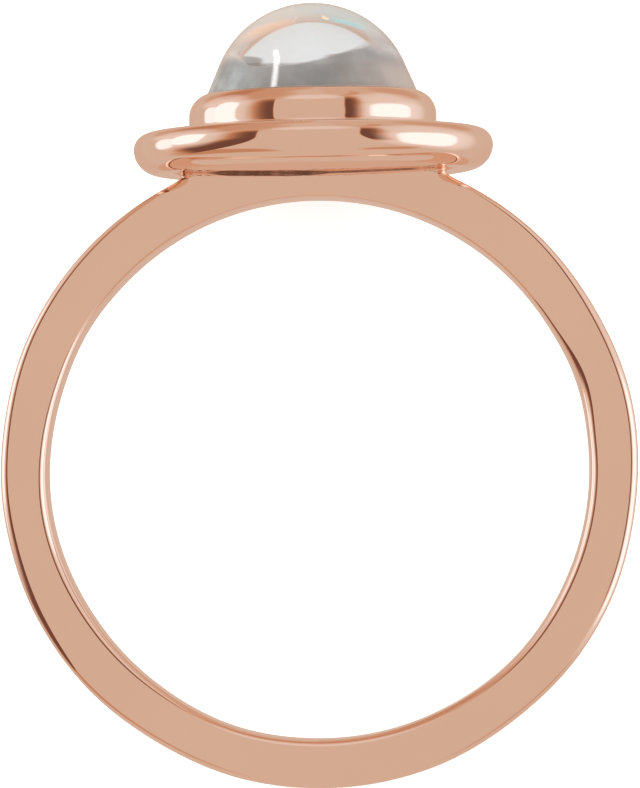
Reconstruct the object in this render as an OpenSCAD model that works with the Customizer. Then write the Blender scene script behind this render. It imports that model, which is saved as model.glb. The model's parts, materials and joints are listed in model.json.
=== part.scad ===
/*
  Ring with one round cabochon stone, lying on its side as it comes to rest.

  The metal is one cast piece: a plain flat-sided band, a thick round plate that sits
  across the top of the band like a saucer, and a smooth bezel that rises from the plate
  and is pushed over the shoulder of the stone. The stone is a high round cabochon.

  Every part is drawn as it is worn, with the middle of the finger hole at the origin,
  the stone upwards along Z and the finger along Y, and is then laid on the floor.
*/

/* [Finger] */
// Inside diameter of the band, which is the finger size
finger_d = 17.35; // [14:0.05:22]

/* [Band] */
// Thickness of the metal from the finger outwards
band_t = 1.55; // [1.4:0.05:2.4]
// Width of the band along the finger
band_w = 2.5; // [1.8:0.1:5]
// Rounding of the two outside edges
band_outer_round = 0.25; // [0.1:0.05:0.5]
// Rounding of the two edges that touch the finger
band_inner_round = 0.15; // [0.05:0.05:0.5]

/* [Plate] */
// How far the plate stands out beyond the bezel all round
plate_reach = 1.8; // [1.5:0.05:3]
// Height of the plate's widest line above the outside of the band
plate_rise = 0.1; // [0:0.02:0.6]
// Rounding of the rim above its widest line
rim_top_round = 0.52; // [0.4:0.02:1]
// Rounding of the rim below its widest line
rim_low_round = 0.8; // [0.4:0.02:1.2]
// Slope of the underside, which hangs lowest in the middle, in degrees
underside_slope = 1.6; // [0:0.2:8]

/* [Bezel] */
// Thickness of the bezel wall beside the stone's straight edge
bezel_wall = 0.45; // [0.3:0.05:0.9]
// Height of the seat under the stone above the top of the plate
seat_rise = 0.56; // [0.1:0.02:1.5]
// How far the bezel reaches up past the stone's straight edge
bezel_cover = 0.3; // [0.2:0.05:0.6]
// Rounding of the bezel's shoulder
bezel_round = 0.77; // [0.3:0.01:0.9]

/* [Stone] */
// Diameter of the stone
stone_d = 7; // [5.5:0.1:9]
// Height of the stone's straight edge
girdle_h = 0.4; // [0.2:0.05:1]
// Height of the dome above the straight edge
dome_h = 3.18; // [3.1:0.02:4.5]
// Lean of the dome's lower wall from upright, in degrees
dome_lean = 23; // [14:1:30]
// Clearance between the stone and the metal that holds it
stone_gap = 0.03; // [0.02:0.01:0.1]

/* [Hidden] */
$fn = 128;

finger_r = finger_d / 2;
band_r = finger_r + band_t;

stone_r = stone_d / 2;
bezel_r = stone_r + stone_gap + bezel_wall;
plate_r = bezel_r + plate_reach;

// Heights above the middle of the finger hole
plate_mid = band_r + plate_rise;
plate_top = plate_mid + rim_top_round;
stone_base = plate_top + seat_rise;
girdle_top = stone_base + girdle_h;
bezel_top = girdle_top + bezel_cover;

// The dome is a ball cap on the axis that runs smoothly into a leaning straight wall.
// The wall passes through the girdle's top edge, which fixes the ball's middle and radius.
ball_z = (dome_h - stone_r * cos(dome_lean)) / (1 - sin(dome_lean));
ball_r = dome_h - ball_z;

// Lying on its side, the ring touches the floor at two places: the plate's low rim and
// the band's rounded outside edge opposite the stone. The floor is the line that touches
// both rounded edges in the section through the stone and the band.
rim_mid_r = plate_r - rim_low_round;
edge_mid_r = band_r - band_outer_round;
edge_mid_w = band_w / 2 - band_outer_round;
contact_run = plate_mid + edge_mid_r;
contact_drop = rim_mid_r - edge_mid_w;
lie_tilt = atan2(contact_drop, contact_run)
         + asin((rim_low_round - band_outer_round) / norm([contact_run, contact_drop]));
floor_depth = edge_mid_r * sin(lie_tilt) + edge_mid_w * cos(lie_tilt) + band_outer_round;

// Reach of the lying ring towards and away from the stone, which centres it on the floor
lie_front = (girdle_top + ball_z) * cos(lie_tilt) + ball_r;
lie_back = edge_mid_r * cos(lie_tilt) + edge_mid_w * sin(lie_tilt) + band_outer_round;

// Section of the band: a bar with rounded corners, at its radius from the finger's axis
module band_section() {
    outer_x = band_r - band_outer_round;
    inner_x = finger_r + band_inner_round;
    outer_y = band_w / 2 - band_outer_round;
    inner_y = band_w / 2 - band_inner_round;
    translate([inner_x, -band_w / 2]) square([outer_x - inner_x, band_w]);
    translate([outer_x, -outer_y]) square([band_outer_round, 2 * outer_y]);
    translate([finger_r, -inner_y]) square([band_inner_round, 2 * inner_y]);
    for (side = [-1, 1]) {
        translate([outer_x, side * outer_y]) circle(band_outer_round);
        translate([inner_x, side * inner_y]) circle(band_inner_round);
    }
}

// Right half of the plate's section, with heights from the middle of the finger hole
module plate_section() {
    top_x = plate_r - rim_top_round;
    touch_x = rim_mid_r + rim_low_round * sin(underside_slope);
    touch_y = plate_mid - rim_low_round * cos(underside_slope);
    middle_y = touch_y - touch_x * tan(underside_slope);
    polygon([[0, plate_mid], [0, middle_y], [touch_x, touch_y], [rim_mid_r, plate_mid]]);
    translate([0, plate_mid]) square([top_x, rim_top_round]);
    intersection() {
        translate([top_x, plate_mid]) circle(rim_top_round);
        translate([0, plate_mid]) square([plate_r, rim_top_round]);
    }
    intersection() {
        translate([rim_mid_r, plate_mid]) circle(rim_low_round);
        polygon([[rim_mid_r, plate_mid], [touch_x, touch_y], [touch_x, touch_y - rim_low_round],
                 [plate_r, touch_y - rim_low_round], [plate_r, plate_mid]]);
    }
}

// Right half of the bezel's outside, from inside the plate up to its rounded shoulder
module bezel_section() {
    shoulder_x = bezel_r - bezel_round;
    shoulder_y = bezel_top - bezel_round;
    translate([0, plate_mid]) square([bezel_r, shoulder_y - plate_mid]);
    translate([0, shoulder_y]) square([shoulder_x, bezel_round]);
    intersection() {
        translate([shoulder_x, shoulder_y]) circle(bezel_round);
        translate([0, shoulder_y]) square([bezel_r, bezel_round]);
    }
}

// Right half of the stone's section, made larger all round by a clearance for its seat
module stone_section(clearance = 0) {
    corner_y = clearance * tan(dome_lean / 2);
    wall_x = (ball_r + clearance) * cos(dome_lean);
    wall_y = ball_z + (ball_r + clearance) * sin(dome_lean);
    translate([0, girdle_top]) {
        intersection() {
            translate([0, ball_z]) circle(ball_r + clearance);
            translate([0, wall_y]) square([stone_r, dome_h]);
        }
        polygon([[0, corner_y], [stone_r + clearance, corner_y], [wall_x, wall_y], [0, wall_y]]);
        translate([0, -girdle_h - clearance])
            square([stone_r + clearance, girdle_h + clearance + corner_y]);
    }
}

module band() {
    rotate([90, 0, 0]) rotate_extrude() band_section();
}

// Plate and bezel, hollowed for the stone and kept clear of the finger
module setting() {
    difference() {
        rotate_extrude() {
            plate_section();
            bezel_section();
        }
        rotate_extrude() stone_section(stone_gap);
        rotate([90, 0, 0]) cylinder(r = finger_r, h = 2 * plate_r + band_w, center = true);
    }
}

// Lays the worn ring on its side, with the stone towards +Y and the floor at Z = 0
module lying() {
    translate([0, (lie_back - lie_front) / 2, floor_depth])
        rotate([lie_tilt - 90, 0, 0]) children();
}

module mounting() {
    color([0.83, 0.65, 0.55]) lying() union() {
        band();
        setting();
    }
}

module cabochon() {
    color([0.85, 0.88, 0.88]) lying() rotate_extrude() stone_section();
}

mounting();
cabochon();
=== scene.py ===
import json
import math

import bpy
import numpy as np
from mathutils import Matrix, Vector


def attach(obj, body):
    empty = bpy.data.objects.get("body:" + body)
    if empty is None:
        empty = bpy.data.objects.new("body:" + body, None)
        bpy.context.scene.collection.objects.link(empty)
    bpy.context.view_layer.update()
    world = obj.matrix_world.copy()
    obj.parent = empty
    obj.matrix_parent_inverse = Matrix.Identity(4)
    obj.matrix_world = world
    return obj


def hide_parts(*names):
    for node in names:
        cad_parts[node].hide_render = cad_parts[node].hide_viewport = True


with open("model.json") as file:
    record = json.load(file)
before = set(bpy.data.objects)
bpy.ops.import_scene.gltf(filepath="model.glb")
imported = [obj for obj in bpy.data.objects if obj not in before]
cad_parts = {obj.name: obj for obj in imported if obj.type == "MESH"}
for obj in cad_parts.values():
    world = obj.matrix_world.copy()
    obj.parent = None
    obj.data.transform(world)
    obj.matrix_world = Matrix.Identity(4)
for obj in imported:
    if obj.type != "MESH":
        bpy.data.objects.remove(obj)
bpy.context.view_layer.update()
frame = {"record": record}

# The ring as it lies
# The ring rests on its side, so its own directions lean with it: right across the band, up through
# the stone, and out along the finger. They come from the finger hole, the one measured place.

MM = 0.001
finger_hole = frame["record"]["mounts"][0]
ring_middle = np.array(finger_hole["pos_m"])
finger_axis = np.array(finger_hole["axis"]) / np.linalg.norm(finger_hole["axis"])
across = np.array([1.0, 0.0, 0.0])
stone_axis = np.cross(finger_axis, across)
worn_to_lying = np.stack([across, stone_axis, finger_axis])


def lay(points):
    """Points in the worn ring's axes, in millimetres, turned and moved to where the ring lies."""
    return ring_middle + MM * (points @ worn_to_lying)


def make_mesh(name, points, quads, triangles=()):
    """A mesh object from an array of points, an array of quads and an array of triangles."""
    corners = np.concatenate([np.ravel(quads), np.ravel(triangles)]).astype(np.int32)
    sizes = np.concatenate([np.full(len(quads), 4), np.full(len(triangles), 3)]).astype(np.int32)
    mesh = bpy.data.meshes.new(name)
    mesh.vertices.add(len(points))
    mesh.vertices.foreach_set("co", np.ravel(points).astype(np.float32))
    mesh.loops.add(len(corners))
    mesh.loops.foreach_set("vertex_index", corners)
    mesh.polygons.add(len(sizes))
    mesh.polygons.foreach_set("loop_start", np.concatenate([[0], np.cumsum(sizes)[:-1]]))
    mesh.update(calc_edges=True)
    mesh.shade_smooth()
    piece = bpy.data.objects.new(name, mesh)
    bpy.context.scene.collection.objects.link(piece)
    return piece


def net(rows, columns, closed):
    """Quads over a grid of points stored row by row. Rows close on themselves, columns only if closed."""
    row, column = np.meshgrid(np.arange(rows if closed else rows - 1), np.arange(columns), indexing="ij")
    next_row = (row + 1) % rows
    next_column = (column + 1) % columns
    corners = [(row, column), (row, next_column), (next_row, next_column), (next_row, column)]
    return np.stack([down * columns + along for down, along in corners], -1).reshape(-1, 4)


def arc(middle, radius, start, end, count):
    """Points on a circle about middle, evenly from one angle to another, in degrees."""
    turn = np.radians(np.linspace(start, end, count))
    return np.stack([middle[0] + radius * np.cos(turn), middle[1] + radius * np.sin(turn)], axis=1)


def line(start, end, count):
    """Points along a straight line, without its two ends."""
    share = np.linspace(0, 1, count + 2)[1:-1, None]
    return np.array(start) * (1 - share) + np.array(end) * share


# Band
# A plain cast shank with flat sides, its four edges broken by the polishing wheel. The wheel also
# leaves it very slightly uneven, so its outline and its edges swell and thin as they go round.

finger_r = finger_hole["dims"]["r_mm"]
band_t = 1.55
band_w = 2.5
band_r = finger_r + band_t
outer_round = 0.25
inner_round = 0.15


def band_section(outer_r, inner_r, outside, inside_edge):
    """The band's section as radius and width, anticlockwise from the middle of its outside."""
    half = band_w / 2
    outer, inner = outer_r - outside, inner_r + inside_edge
    parts = [
        line((outer_r, 0), (outer_r, half - outside), 6),
        arc((outer, half - outside), outside, 0, 90, 13),
        line((outer, half), (inner, half), 18),
        arc((inner, half - inside_edge), inside_edge, 90, 180, 13),
        line((inner_r, half - inside_edge), (inner_r, 0), 4),
    ]
    upper = np.concatenate(parts)
    lower = upper[::-1] * [1, -1]
    ends = np.array([[outer_r, 0.0]]), np.array([[inner_r, 0.0]])
    return np.concatenate([ends[0], upper, ends[1], lower])


def band_angles():
    """Angles round the band from the stone, closer together where it runs into the plate."""
    near = np.linspace(-35, 35, 201)
    far = np.linspace(35, 325, 321)[1:-1]
    return np.radians(np.concatenate([near, far]))


def swell(turn, places):
    """A sum of smooth cosine rises, each given by its middle and reach in degrees and its height."""
    total = np.zeros(len(turn))
    for middle, reach, height in places:
        away = (np.degrees(turn) - middle + 180) % 360 - 180
        total += height * np.cos(np.clip(away / reach, -1, 1) * np.pi / 2) ** 2
    return total


def make_band():
    """The section carried round the finger: x and up turn with the angle, width runs along the finger."""
    turn = band_angles()
    # The middle and reach of each swell, in degrees from the stone, and its height
    away = swell(turn, [(95, 55, 1), (150, 55, 1), (205, 55, 1), (260, 55, 1), (315, 45, 0.3)])
    softer_outside = swell(turn, [(245, 30, 0.06), (62, 24, 0.05)])
    softer_inside = swell(turn, [(71, 15, 0.16), (250, 40, 0.06)])
    ground_off = swell(turn, [(60, 18, 0.04), (98, 20, 0.05), (143, 18, 0.05), (212, 18, 0.05),
                              (258, 14, 0.03), (278, 18, 0.05)])
    opened_out = swell(turn, [(72, 14, 0.04), (135, 22, 0.04), (200, 20, 0.04), (262, 28, 0.06),
                              (302, 14, 0.03)])
    outside = outer_round + 0.08 * away + softer_outside
    inside_edge = inner_round + 0.17 * away + softer_inside
    sizes = zip(band_r - ground_off, finger_r + opened_out, outside, inside_edge)
    sections = np.array([band_section(*size) for size in sizes])
    radius, width = sections[:, :, 0], sections[:, :, 1]
    points = np.stack([np.sin(turn)[:, None] * radius, np.cos(turn)[:, None] * radius, width], axis=2)
    return make_mesh("band", lay(points.reshape(-1, 3)), net(*width.shape, closed=True))


band = make_band()

# Plate and bezel
# A thick round plate with a rounded rim sits across the band like a saucer, and the bezel that
# grips the stone rises from it. In the metal they are one casting with the band.

stone_r = 3.5
seat_gap = 0.03
bezel_wall = 0.45
plate_reach = 1.8
plate_rise = 0.1
bezel_r = stone_r + seat_gap + bezel_wall
plate_r = bezel_r + plate_reach
rim_top_round = 0.52
rim_low_round = 0.8
rim_mid_r = plate_r - rim_low_round
plate_mid = band_r + plate_rise
plate_top = plate_mid + rim_top_round

underside_slope = 1.6
slope = math.radians(underside_slope)
touch_r = rim_mid_r + rim_low_round * math.sin(slope)
touch_height = plate_mid - rim_low_round * math.cos(slope)
underside_middle = touch_height - touch_r * math.tan(slope)

seat_rise = 0.56
girdle_h = 0.4
bezel_cover = 0.3
bezel_round = 0.77
stone_base = plate_top + seat_rise
girdle_top = stone_base + girdle_h
bezel_top = girdle_top + bezel_cover
dome_h = 3.18
dome_lean = 23.0
lean = math.radians(dome_lean)
ball_z = (dome_h - stone_r * math.cos(lean)) / (1 - math.sin(lean))
ball_r = dome_h - ball_z
ball_middle = girdle_top + ball_z


def dome_wall(height, clearance):
    """Radius of the dome's leaning lower wall at a height, grown by a clearance."""
    return stone_r + (clearance - (height - girdle_top) * math.sin(lean)) / math.cos(lean)


def outside_profile():
    """Radius and height of the metal's outside, from the middle underneath to the bezel's lip."""
    under, touch = (0.0, underside_middle), (touch_r, touch_height)
    rim_top_r = plate_r - rim_top_round
    fillet = 0.22
    shoulder = (bezel_r - bezel_round, bezel_top - bezel_round)
    lip_turn = 69.0
    return np.concatenate([
        [under],
        line(under, touch, 44),
        arc((rim_mid_r, plate_mid), rim_low_round, underside_slope - 90, 0, 26),
        arc((rim_top_r, plate_mid), rim_top_round, 0, 90, 22)[1:],
        line((rim_top_r, plate_top), (bezel_r + fillet, plate_top), 5),
        arc((bezel_r + fillet, plate_top + fillet), fillet, 270, 180, 12),
        line((bezel_r, plate_top + fillet), (bezel_r, shoulder[1]), 4),
        arc(shoulder, bezel_round, 0, lip_turn, 20),
    ])


def seat_profile(lip_height):
    """Radius and height of the hollow for the stone, from just under the lip to the seat's middle."""
    lip_edge = 0.01
    inner_lip = lip_height - lip_edge
    seat_r, seat = stone_r + seat_gap, stone_base - seat_gap
    inner_top = (dome_wall(inner_lip, seat_gap), inner_lip)
    return np.concatenate([
        [inner_top],
        line(inner_top, (seat_r, girdle_top), 4),
        [(seat_r, girdle_top)],
        [(seat_r, seat)],
        line((seat_r, seat), (0, seat), 4),
        [(0.0, seat)],
    ])


def make_turned(name, profile, count):
    """A profile turned about the stone's axis: its two ends lie on the axis and close as points."""
    turn = np.linspace(0, 2 * np.pi, count, endpoint=False)
    radius, height = profile[1:-1, 0], profile[1:-1, 1]
    rings = np.stack([
        radius[:, None] * np.sin(turn),
        np.broadcast_to(height[:, None], (len(radius), count)),
        radius[:, None] * np.cos(turn),
    ], axis=2).reshape(-1, 3)
    poles = np.array([[0, profile[0, 1], 0], [0, profile[-1, 1], 0]])
    step = np.arange(count)
    after = (step + 1) % count
    last = (len(radius) - 1) * count
    first_cap = np.stack([np.full(count, len(rings)), after, step], -1)
    last_cap = np.stack([np.full(count, len(rings) + 1), last + step, last + after], -1)
    caps = np.concatenate([first_cap, last_cap])
    return make_mesh(name, lay(np.concatenate([rings, poles])), net(len(radius), count, closed=False), caps)


outside_of_head = outside_profile()
head_profile = np.concatenate([outside_of_head, seat_profile(outside_of_head[-1, 1])])
head = make_turned("head", head_profile, 300)


def join_solids(base, added):
    """One closed solid from two that pass through each other, and the first object keeps it."""
    joint = base.modifiers.new("join", "BOOLEAN")
    joint.operation = "UNION"
    joint.solver = "EXACT"
    joint.object = added
    joined = bpy.data.meshes.new_from_object(base.evaluated_get(bpy.context.evaluated_depsgraph_get()))
    base.modifiers.clear()
    base.data = joined
    bpy.data.objects.remove(added)
    return base


def band_distance(points):
    """Distance outside the band: a rounded bar's distance, in radius from the finger and in width."""
    radius, width = np.hypot(points[:, 0], points[:, 1]), np.abs(points[:, 2])
    middle = (band_r + finger_r) / 2
    rounding = np.where(radius > middle, outer_round, inner_round)
    over_t = np.abs(radius - middle) - band_t / 2 + rounding
    over_w = width - band_w / 2 + rounding
    outside = np.hypot(np.maximum(over_t, 0), np.maximum(over_w, 0))
    return np.minimum(np.maximum(over_t, over_w), 0) + outside - rounding


def underside_distance(points):
    """Distance outside the plate from below: from its sloping cone, or from the round of its rim."""
    beyond = np.hypot(points[:, 0], points[:, 2]) - rim_mid_r
    above = points[:, 1] - plate_mid
    from_cone = beyond * math.sin(slope) - above * math.cos(slope) - rim_low_round
    from_rim = np.hypot(beyond, above) - rim_low_round
    past_touch = beyond > -above * math.tan(slope)
    return np.where(past_touch, from_rim, from_cone)


def fillet_distance(points, reach):
    """Distance outside band and plate together, with the corner between them filled over a reach."""
    to_band, to_plate = band_distance(points), underside_distance(points)
    near = np.maximum(reach - np.abs(to_band - to_plate), 0) / reach
    return np.minimum(to_band, to_plate) - near ** 2 * reach / 4


def fillet_slope(points, reach):
    """Gradient of the filled distance at each point, from a small step each way."""
    step = 1e-4
    changes = [fillet_distance(points + move, reach) - fillet_distance(points - move, reach)
               for move in np.eye(3) * step]
    return np.stack(changes, axis=1) / (2 * step)


def fill_corner(piece, reach):
    """Moves the points near the corner out along the gradient until they lie on the filled surface."""
    passes = 6
    off_the_hole = 0.01
    mesh = piece.data
    flat = np.empty(len(mesh.vertices) * 3, np.float32)
    mesh.vertices.foreach_get("co", flat)
    points = (flat.reshape(-1, 3).astype(float) - ring_middle) / MM @ worn_to_lying.T
    near = points[:, 1] < plate_mid
    near &= np.abs(band_distance(points) - underside_distance(points)) < reach
    near &= np.hypot(points[:, 0], points[:, 1]) > finger_r + off_the_hole
    moving = points[near]
    for _ in range(passes):
        away = fillet_slope(moving, reach)
        moving = moving - (fillet_distance(moving, reach) / (away ** 2).sum(axis=1))[:, None] * away
    points[near] = moving
    mesh.vertices.foreach_set("co", lay(points).astype(np.float32).ravel())
    mesh.update()


mounting = join_solids(band, head)
mounting.name = mounting.data.name = "polished_mounting"
fill_corner(mounting, reach=0.4)


class Shade:
    """A node's socket that can be used in Python sums: each operator adds its Math node."""

    def __init__(self, tree, socket=None):
        self.tree, self.socket = tree, socket

    def node(self, kind, settings=None, sockets=None, output=0):
        """Adds a node: its settings and ramp stops first, then a value or a link for each socket."""
        made = self.tree.nodes.new("ShaderNode" + kind)
        for name, value in (settings or {}).items():
            if name == "stops":
                while len(made.color_ramp.elements) < len(value):
                    made.color_ramp.elements.new(0.5)
                for stop, (place, colour) in zip(made.color_ramp.elements, value):
                    stop.position, stop.color = place, (*colour, 1.0)
            else:
                setattr(made, name, value)
        for name, value in (sockets or {}).items():
            if isinstance(value, Shade):
                self.tree.links.new(value.socket, made.inputs[name])
            else:
                made.inputs[name].default_value = value
        return Shade(self.tree, made.outputs[output] if len(made.outputs) else None)

    def math(self, operation, *values):
        """Adds a Math node of one operation, with a value or a link for each of its inputs."""
        return self.node("Math", {"operation": operation}, dict(enumerate(values)))

    def __add__(self, other):
        return self.math("ADD", self, other)

    def __radd__(self, other):
        return self.math("ADD", other, self)

    def __sub__(self, other):
        return self.math("SUBTRACT", self, other)

    def __rsub__(self, other):
        return self.math("SUBTRACT", other, self)

    def __mul__(self, other):
        return self.math("MULTIPLY", self, other)

    def __rmul__(self, other):
        return self.math("MULTIPLY", other, self)

    def __truediv__(self, other):
        return self.math("DIVIDE", self, other)

    def __pow__(self, other):
        return self.math("POWER", self, other)

    def __abs__(self):
        return self.math("ABSOLUTE", self)

    def at_least(self, other):
        """The larger of this value and another."""
        return self.math("MAXIMUM", self, other)

    def fade(self, start, end):
        """Rises smoothly from 0 to 1 while the value goes from start to end."""
        return self.node("MapRange", {"interpolation_type": "SMOOTHSTEP"},
                         {"Value": self, "From Min": start, "From Max": end})

    def between(self, start, full, fall, end):
        """Rises smoothly from 0 to 1 from start to full, and back to 0 from fall to end."""
        return self.fade(start, full) * (1 - self.fade(fall, end))

    def along(self, direction):
        """The dot product of a vector with a fixed direction."""
        return self.node("VectorMath", {"operation": "DOT_PRODUCT"},
                         {0: self, 1: tuple(float(part) for part in direction)}, "Value")

    def blend(self, first, second):
        """A colour that is first where this value is 0 and second where it is 1."""
        colours = [value if isinstance(value, Shade) else (*value, 1.0) for value in (first, second)]
        return self.node("Mix", {"data_type": "RGBA"}, {0: self, 6: colours[0], 7: colours[1]}, 2)


def new_material(name):
    """An empty node material and the shade that its nodes are added from."""
    material = bpy.data.materials.new(name)
    material.use_nodes = True
    material.node_tree.nodes.clear()
    return material, Shade(material.node_tree)


def worn_position(start):
    """Object coordinates in millimetres from the middle of the finger hole, as x, up and finger."""
    place = start.node("TexCoord", output="Object")
    moved = place.node("VectorMath", {"operation": "SUBTRACT"}, {0: place, 1: tuple(ring_middle)})
    return [moved.along(axis / MM) for axis in worn_to_lying]


def grain(start, scale, detail, stretch=(1.0, 1.0, 1.0)):
    """Noise about 0.5 that belongs to the piece, by its Object coordinates in metres."""
    place = start.node("TexCoord", output="Object")
    drawn_out = place.node("VectorMath", {"operation": "MULTIPLY"}, {0: place, 1: stretch})
    return start.node("TexNoise", None, {"Vector": drawn_out, "Scale": scale, "Detail": detail})


def crease_shade_and_bumps(start):
    """In the corner under the plate, out of the wheel's reach: a dark line of painted shade, and uneven
    metal.

    The corner follows the cone of the underside along the band's flat side: its middle height, and
    the slope times the root of x squared plus half the band's width squared.
    """
    across_it, height, out = worn_position(start)
    rough = grain(start, 4200.0, 3.0, stretch=(0.45, 1.0, 1.0))
    half_w, into_fillet = band_w / 2, 0.02
    corner = underside_middle + into_fillet + math.tan(slope) * (across_it ** 2.0 + half_w ** 2) ** 0.5
    below = corner - height + (rough - 0.5) * 0.1
    near = out.between(1.1, 1.2, 1.7, 1.9) * across_it.between(-3.6, -3.0, 3.0, 3.5)
    thicker = 0.055 * (across_it.between(-3.5, -2.6, -0.6, 0.8) + 0.5 * rough)
    # Painted shade: a dark streaky line along the crease between band and plate.
    crease_shade_line = below.fade(-0.03, 0.0) * (1 - (below - thicker).fade(0.02, 0.055))
    streaks = 0.5 + 0.45 * rough.fade(0.32, 0.52)
    uneven = below.between(0.02, 0.1, 0.25, 0.4) * (1 - 0.4 * across_it.fade(0.6, 1.6))
    return near * crease_shade_line * streaks, near * uneven * rough * 12.0


def rose_gold():
    """Mirror polish: almost no roughness, and a colour, a gloss and a level that drift very slightly."""
    material, start = new_material("rose_gold_polish")
    drift = grain(start, 180.0, 2.0)
    haze = grain(start, 900.0, 4.0)
    crease_shade, rough_cast = crease_shade_and_bumps(start)
    colour = drift.fade(0.3, 0.7).blend((0.962, 0.706, 0.565), (0.948, 0.694, 0.555))
    # Painted shade: the crease under the plate is darkened, and a little rougher there.
    colour = crease_shade.blend(colour, (0.15, 0.065, 0.045))
    roughness = 0.02 + 0.03 * haze.fade(0.4, 0.8) + 0.2 * crease_shade
    level = drift * 0.6 + haze * 0.4 + rough_cast
    bump = start.node("Bump", None, {"Strength": 1.0, "Distance": 0.000002, "Height": level})
    metal = start.node("BsdfPrincipled", None, {
        "Base Color": colour, "Metallic": 1.0, "Roughness": roughness, "Normal": bump})
    start.node("OutputMaterial", None, {"Surface": metal})
    return material


polish = rose_gold()
mounting.data.materials.clear()
mounting.data.materials.append(polish)
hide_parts("mounting")
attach(mounting, "root")

# Stone
# A high round moonstone cabochon, cut with a straight girdle and a flat back and polished all over.
# It drops into the bezel, which is then pushed over its shoulder.


def stone_profile():
    """Radius and height of the stone, from the middle of its back over the girdle to its top."""
    round_over = 0.06
    low = stone_base + round_over
    wall_top = (ball_r * math.cos(lean), ball_middle + ball_r * math.sin(lean))
    return np.concatenate([
        [(0.0, stone_base)],
        line((0, stone_base), (stone_r - round_over, stone_base), 10),
        arc((stone_r - round_over, low), round_over, 270, 360, 6),
        line((stone_r, low), (stone_r, girdle_top), 3),
        [(stone_r, girdle_top)],
        line((stone_r, girdle_top), wall_top, 14),
        arc((0, ball_middle), ball_r, dome_lean, 90, 56)[:-1],
        [(0.0, ball_middle + ball_r)],
    ])


def frosted_back(start, place):
    """The part inside the bezel is ground, not polished: a warm flat back and a greyer girdle."""
    across_it, height, _ = place
    on_back = 1 - height.fade(stone_base + 0.01, stone_base + 0.03)
    rough = grain(start, 700.0, 3.0)
    from_left = across_it * 0.17 + 0.5 + (rough - 0.5) * 0.3
    girdle = start.node("ValToRGB", {"stops": [
        (0.0, (0.76, 0.90, 0.90)),
        (0.25, (0.70, 0.65, 0.62)),
        (0.5, (0.76, 0.75, 0.73)),
        (0.8, (0.84, 0.79, 0.76)),
        (1.0, (0.95, 0.90, 0.87)),
    ]}, {"Fac": from_left})
    back = rough.fade(0.3, 0.7).blend((0.88, 0.84, 0.80), (0.95, 0.91, 0.87))
    return start.node("BsdfDiffuse", None, {"Color": on_back.blend(girdle, back), "Roughness": 0.6})


def painted_grey_band(place, cloud):
    """1 in the stone's lower front, where a grey reflection is painted in, below an edge like a shallow
    bowl.
    """
    across_it, height, out = place
    right_end = (across_it - 1.8).at_least(0.0)
    left_end = across_it.between(-3.2, -2.6, -2.5, -1.9)
    edge = 12.76 + 0.08 * (across_it + 1.15) ** 2.0 - 0.8 * right_end + 0.3 * left_end
    soft = 0.06 + 0.3 * across_it.fade(1.3, 2.1) + 0.3 * (1 - across_it.fade(-2.7, -1.9))
    above = (height - edge + (cloud - 0.5) * 0.2) / soft
    return (1 - above.fade(-1.0, 1.0)) * out.fade(0.1, 0.8)


def milk_colour(start, place, grey_band):
    """The milk is warm at the left, greener at the top right, and grey with paler ends in the painted grey
    band.
    """
    across_it, height, _ = place
    sides = across_it.fade(-3.0, 3.0).blend((0.57, 0.49, 0.43), (0.48, 0.455, 0.44))
    crown = across_it.fade(-1.5, 1.5).blend((0.50, 0.455, 0.415), (0.41, 0.43, 0.41))
    body = height.fade(13.7, 14.3).blend(sides, crown)
    patch = grain(start, 900.0, 5.0)
    # Painted reflection: the grey of the band low in front, paler towards its ends.
    grey_band_colour = patch.fade(0.3, 0.7).blend((0.175, 0.168, 0.16), (0.225, 0.215, 0.205))
    cool_end = (1 - across_it.fade(-3.2, -1.3)) * (1 - height.fade(12.4, 13.1)) * patch.fade(0.2, 0.7)
    warm_end = across_it.fade(0.3, 3.2) * (1 - height.fade(12.5, 13.3))
    grey_band_colour = cool_end.blend(grey_band_colour, (0.36, 0.40, 0.39))
    grey_band_colour = warm_end.blend(grey_band_colour, (0.34, 0.285, 0.255))
    return grey_band.blend(body, grey_band_colour)


def sheen(start, place, cloud, plain):
    """The milk's colour and how much more of it shows, with painted sheen: a warm reflection of the metal,
    a turquoise sheen and yellow glints.

    They lie near the top on an arc, whose height falls from its middle by 0.1 times x squared.
    """
    across_it, height, _ = place
    from_arc = height - 14.33 + 0.1 * across_it ** 2.0 + (cloud - 0.5) * 0.25
    narrow = from_arc.between(-0.14, -0.02, 0.02, 0.14)
    broad = from_arc.between(-0.42, -0.12, -0.02, 0.16)
    # Painted reflection and sheen: the metal mirrored warm at the left, turquoise sheen at the right,
    # yellow glints between.
    specks = grain(start, 3600.0, 1.0).fade(0.55, 0.64)
    peach_reflection = broad * across_it.between(-2.5, -1.7, -0.9, -0.3)
    turquoise_sheen = narrow * across_it.between(0.3, 0.95, 1.5, 1.9)
    yellow_glints = narrow * specks * across_it.between(-0.7, -0.4, 0.9, 1.1)
    colour = peach_reflection.blend(plain, (0.54, 0.385, 0.295))
    colour = turquoise_sheen.blend(colour, (0.27, 0.41, 0.41))
    colour = yellow_glints.blend(colour, (0.58, 0.47, 0.33))
    return colour, 0.27 * peach_reflection + 0.36 * turquoise_sheen + 0.35 * yellow_glints


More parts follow.
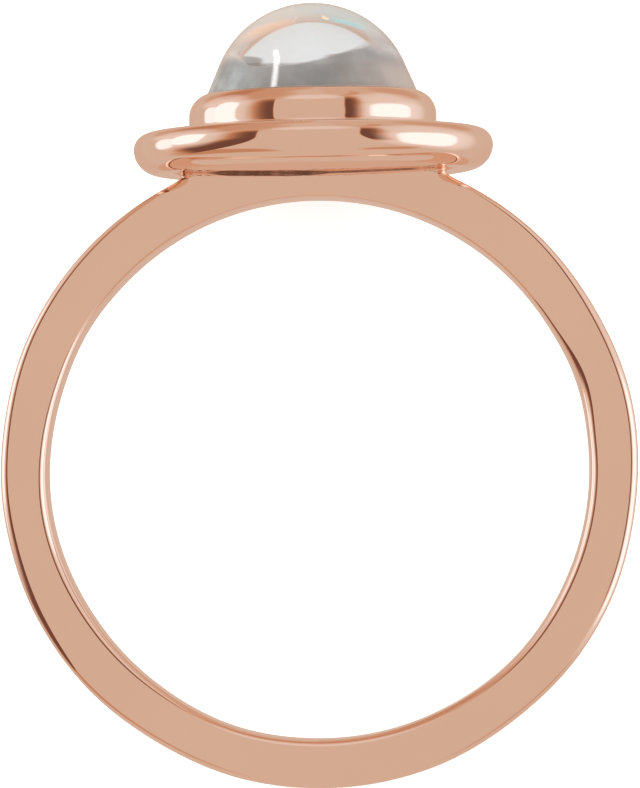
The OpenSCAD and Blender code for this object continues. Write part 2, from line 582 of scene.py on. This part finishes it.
def polished_stone(start, place):
    """Clear stone with a veil of milk, thicker where it is seen edge on, near the top and in the painted
    grey band.
    """
    _, height, out = place
    cloud = grain(start, 420.0, 4.0)
    body = cloud.fade(0.3, 0.7).blend((0.975, 0.98, 0.98), (0.99, 0.99, 0.985))
    clear = start.node("BsdfPrincipled", None, {
        "Base Color": body, "Roughness": 0.0, "IOR": 1.45, "Transmission Weight": 1.0})
    grey_band = painted_grey_band(place, cloud)
    colour, sheen_veil = sheen(start, place, cloud, milk_colour(start, place, grey_band))
    milk = start.node("BsdfPrincipled", None, {
        "Base Color": colour, "Roughness": 0.02 + 0.05 * cloud, "IOR": 1.45})
    edge_on = start.node("LayerWeight", None, {"Blend": 0.5}, "Facing").fade(0.3, 0.62)
    low_behind = (1 - height.fade(12.2, 12.4)) * (1 - out.fade(-0.9, 0.0))
    veil = 0.03 + 0.06 * cloud.fade(0.35, 0.75) + 0.58 * edge_on + 0.2 * height.fade(13.5, 14.2)
    # More milk shows in the painted grey band and in the painted sheen.
    veil = veil + (0.72 + 0.18 * cloud.fade(0.4, 0.6)) * grey_band + 0.8 * low_behind + sheen_veil
    return start.node("MixShader", None, {0: veil, 1: clear, 2: milk})


def moonstone():
    """Polished where it stands clear of the bezel, and frosted from just inside the bezel's lip down."""
    material, start = new_material("moonstone_polish")
    place = worn_position(start)
    hidden = 1 - place[1].fade(bezel_top - 0.06, bezel_top - 0.03)
    stone = start.node("MixShader", None, {
        0: hidden, 1: polished_stone(start, place), 2: frosted_back(start, place)})
    start.node("OutputMaterial", None, {"Surface": stone})
    return material


stone = make_turned("moonstone_dome", stone_profile(), 180)
stone.data.materials.append(moonstone())
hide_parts("cabochon")
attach(stone, "root")

# Floor, light and camera
# The ring lies on a plain white table. The light is a room of soft panels round the camera, given
# by direction, and the camera looks down along the finger.


def make_floor():
    """A wide square at the floor's level, of four corners. The ring doesn't mirror it."""
    side = 3.0
    corners = np.array([[-side, -side, 0], [side, -side, 0], [side, side, 0], [-side, side, 0]])
    piece = make_mesh("floor", corners, np.array([[0, 1, 2, 3]]))
    material, start = new_material("table_top")
    white = start.node("BsdfDiffuse", None, {"Color": (0.95, 0.955, 0.96, 1)})
    glow = start.node("Emission", None, {"Strength": 0.33})
    lit = start.node("AddShader", None, {0: white, 1: glow})
    start.node("OutputMaterial", None, {"Surface": lit})
    piece.data.materials.append(material)
    piece.visible_glossy = False
    piece.visible_transmission = False
    return piece


def inside(side, rise, middle, reach, soft):
    """1 within a rounded rectangle of directions about a middle, 0 outside, with a soft edge.

    Directions are in degrees, to the side of the camera and above it, and reach is half a size.
    """
    wide = abs((side - middle[0]) / reach[0]) ** 3.0
    tall = abs((rise - middle[1]) / reach[1]) ** 3.0
    return 1 - (wide + tall).fade(1 - soft, 1 + soft)


def left_screen(side, rise):
    """How dark the left screen is: it deepens towards an oval's edge beside the lens and ends sharply."""
    fall = (5 - rise).at_least(0.0)
    climb = (rise - 8).at_least(0.0)
    wide = (side + 90 + 0.004 * climb ** 2.0) / 54
    out = (wide ** 2.0 + (fall / 42) ** 2.0) ** 0.5
    deepening = (out + 0.22 * fall.fade(0, 20)).fade(0.46, 0.93)
    return deepening * (1 - out.fade(0.985, 1.015)) * side.fade(-113, -88) * (1 - rise.fade(28, 58))


def right_screen(side, rise):
    """How dark the right screen is: a bent strip, sharp beside the lens and fading away from it."""
    climb = (rise - 8).at_least(0.0)
    dip = (8 - rise).at_least(0.0)
    bent = side - 0.005 * climb ** 2.0 - 0.014 * dip ** 2.0
    return bent.between(30, 32, 35, 54) * rise.between(-24, -12, 34, 60)


def faint_shades(side, rise):
    """Weak brown reflections further out: two streaks low on either side, some high up and two behind."""
    # Strength, middle, reach, softness, and the climb for each degree to the side
    shades = [
        (0.32, (-75, -45), (38, 10), 0.8, -0.4),
        (0.28, (68, -50), (19, 7), 0.8, 0.45),
        (0.24, (-110, 60), (76, 20), 0.95, 0.0),
        (0.16, (66, 62), (28, 4), 0.8, 0.25),
        (0.2, (-137, 42), (26, 16), 0.9, 0.0),
        (0.2, (135, 42), (28, 16), 0.9, 0.0),
        (0.08, (105, 70), (75, 14), 0.6, 0.0),
    ]
    return sum(strength * inside(side, rise - slant * (side - middle[0]), middle, reach, soft)
               for strength, middle, reach, soft, slant in shades)


def bright_panels(side, rise):
    """Soft boxes beside the camera, the left one in two, with glows, and a faint one high in front."""
    leaning_box = inside(side + 0.12 * rise, rise, (81, -5.5), (26, 24.5), 0.5)
    # Strength, middle, reach and softness
    panels = [
        (1.0, (-90, 14), (15, 20), 0.45),
        (0.9, (-110, 4), (10, 15), 0.6),
        (0.3, (-108, 34), (26, 18), 1.0),
        (0.3, (-92, 14), (26, 30), 1.0),
        (0.25, (88, 20), (36, 34), 1.0),
        (0.42, (86, -3), (38, 30), 1.0),
        (0.22, (0, 54), (34, 11), 0.8),
    ]
    brightest = leaning_box
    for strength, middle, reach, soft in panels:
        brightest = brightest.at_least(strength * inside(side, rise, middle, reach, soft))
    return brightest


def behind_stone(right, rise, front):
    """What shows through the stone: pale, with a grey screen on either side, sloping down outwards."""
    away = right.math("ARCTAN2", right, 0 - front) * math.degrees(1)
    leftward = (0 - away).at_least(0.0)
    rightward = (away - 20.5).at_least(0.0)
    on_left = (rise + 18.9 + 0.011 * leftward ** 2.0).fade(-0.35, 0.35) * (1 - away.fade(-10.0, -4.0))
    on_right = (rise + 21.5 + 0.45 * rightward).fade(-0.5, 0.5) * away.fade(19.0, 22.0)
    screens = (on_left + on_right) * (1 - front.fade(-0.1, 0.1))
    return screens.blend((0.87, 0.885, 0.885), (0.40, 0.38, 0.365))


def mirrored_room(side, rise, front):
    """What the metal mirrors: warm walls that go brown at the screens, with the bright panels on them."""
    dark = (left_screen(side, rise) + right_screen(side, rise)).at_least(faint_shades(side, rise))
    walls = dark.node("ValToRGB", {"stops": [
        (0.0, (0.689, 0.574, 0.505)),
        (0.15, (0.65, 0.46, 0.35)),
        (0.35, (0.56, 0.29, 0.175)),
        (0.7, (0.314, 0.16, 0.091)),
        (1.0, (0.173, 0.08, 0.061)),
    ]}, {"Fac": dark})
    walls = (1 - front.fade(-1.0, -0.7)).blend(walls, (0.67, 0.48, 0.38))
    return bright_panels(side, rise).blend(walls, (1.2, 1.36, 1.54))


def light_room():
    """The light from each direction, by its angle to the side of the camera and above it."""
    world = bpy.data.worlds.new("soft_panels")
    world.use_nodes = True
    world.node_tree.nodes.clear()
    start = Shade(world.node_tree)
    toward = start.node("TexCoord", output="Generated")
    right, up, front = [toward.along(axis) for axis in worn_to_lying]
    side = right.math("ARCTAN2", right, front) * math.degrees(1)
    rise = up.math("ARCSINE", up) * math.degrees(1)
    through = start.node("LightPath", output="Is Transmission Ray")
    soft = start.node("LightPath", output="Is Diffuse Ray")
    seen = start.node("LightPath", output="Is Camera Ray")
    room = through.blend(mirrored_room(side, rise, front), behind_stone(right, rise, front))
    room = soft.blend(room, (1.7, 1.7, 1.7))
    room = seen.blend(room, (0.97, 0.97, 0.97))
    glow = start.node("Background", None, {"Color": room})
    start.node("OutputWorld", None, {"Surface": glow})
    bpy.context.scene.world = world


def strip_glow(tree):
    """The strip's light over its face: soft across its width, and fading more slowly along it."""
    tree.nodes.clear()
    start = Shade(tree)
    spot = start.node("NewGeometry", output="Parametric")
    wide, tall = spot.along((1, 0, 0)), spot.along((0, 1, 0))
    soft = wide.between(0.1, 0.45, 0.55, 0.9) * tall.between(0.0, 0.1, 0.45, 1.0)
    start.node("OutputLight", None, {"Surface": start.node("Emission", None, {"Strength": soft})})


def strip_beside_lens():
    """A narrow soft light that only the stone mirrors, as the upright streak on its left."""
    distance = 0.1
    dome = lay(np.array([[0.0, 12.4, 0.0]]))[0]
    high, low = [np.array(way) @ worn_to_lying for way in ((-0.54, 0.82, 0.20), (-0.54, 0.66, 0.52))]
    ends = [dome + distance * way / np.linalg.norm(way) for way in (high, low)]
    middle = Vector((ends[0] + ends[1]) / 2)
    long_way = Vector(ends[0] - ends[1])
    back = Vector((ends[0] + ends[1]) / 2 - dome).normalized()
    long_axis = (long_way - back * long_way.dot(back)).normalized()
    data = bpy.data.lights.new("strip", "AREA")
    data.shape = "RECTANGLE"
    data.size = 0.017
    data.size_y = long_way.length
    data.energy = 0.033
    data.use_nodes = True
    strip_glow(data.node_tree)
    light = bpy.data.objects.new("strip", data)
    turn = Matrix((long_axis.cross(back), long_axis, back)).transposed().to_4x4()
    light.matrix_world = Matrix.Translation(middle) @ turn
    light.visible_camera = light.visible_diffuse = light.visible_transmission = False
    receivers = bpy.data.collections.new("strip_receivers")
    receivers.objects.link(stone)
    light.light_linking.receiver_collection = receivers
    bpy.context.scene.collection.objects.link(light)


def make_camera():
    """Looks down the finger from far off, at the point of the ring that the picture has in its middle."""
    lean_left = math.radians(1.13)
    eye, target = lay(np.array([[2.9, -2.9, 190.0], [0.057, 2.393, 0.0]]))
    back = Vector(eye - target).normalized()
    up = Vector(across * math.sin(lean_left) + stone_axis * math.cos(lean_left))
    right = up.cross(back).normalized()
    turn = Matrix((right, back.cross(right), back)).transposed().to_4x4()
    data = bpy.data.cameras.new("camera")
    data.lens, data.sensor_width = 270.3, 36.0
    data.clip_start, data.clip_end = 0.01, 10.0
    camera = bpy.data.objects.new("camera", data)
    camera.matrix_world = Matrix.Translation(Vector(eye)) @ turn
    bpy.context.scene.collection.objects.link(camera)
    bpy.context.scene.camera = camera


floor = make_floor()
light_room()
strip_beside_lens()
make_camera()
bpy.context.scene.view_settings.view_transform = "Standard"
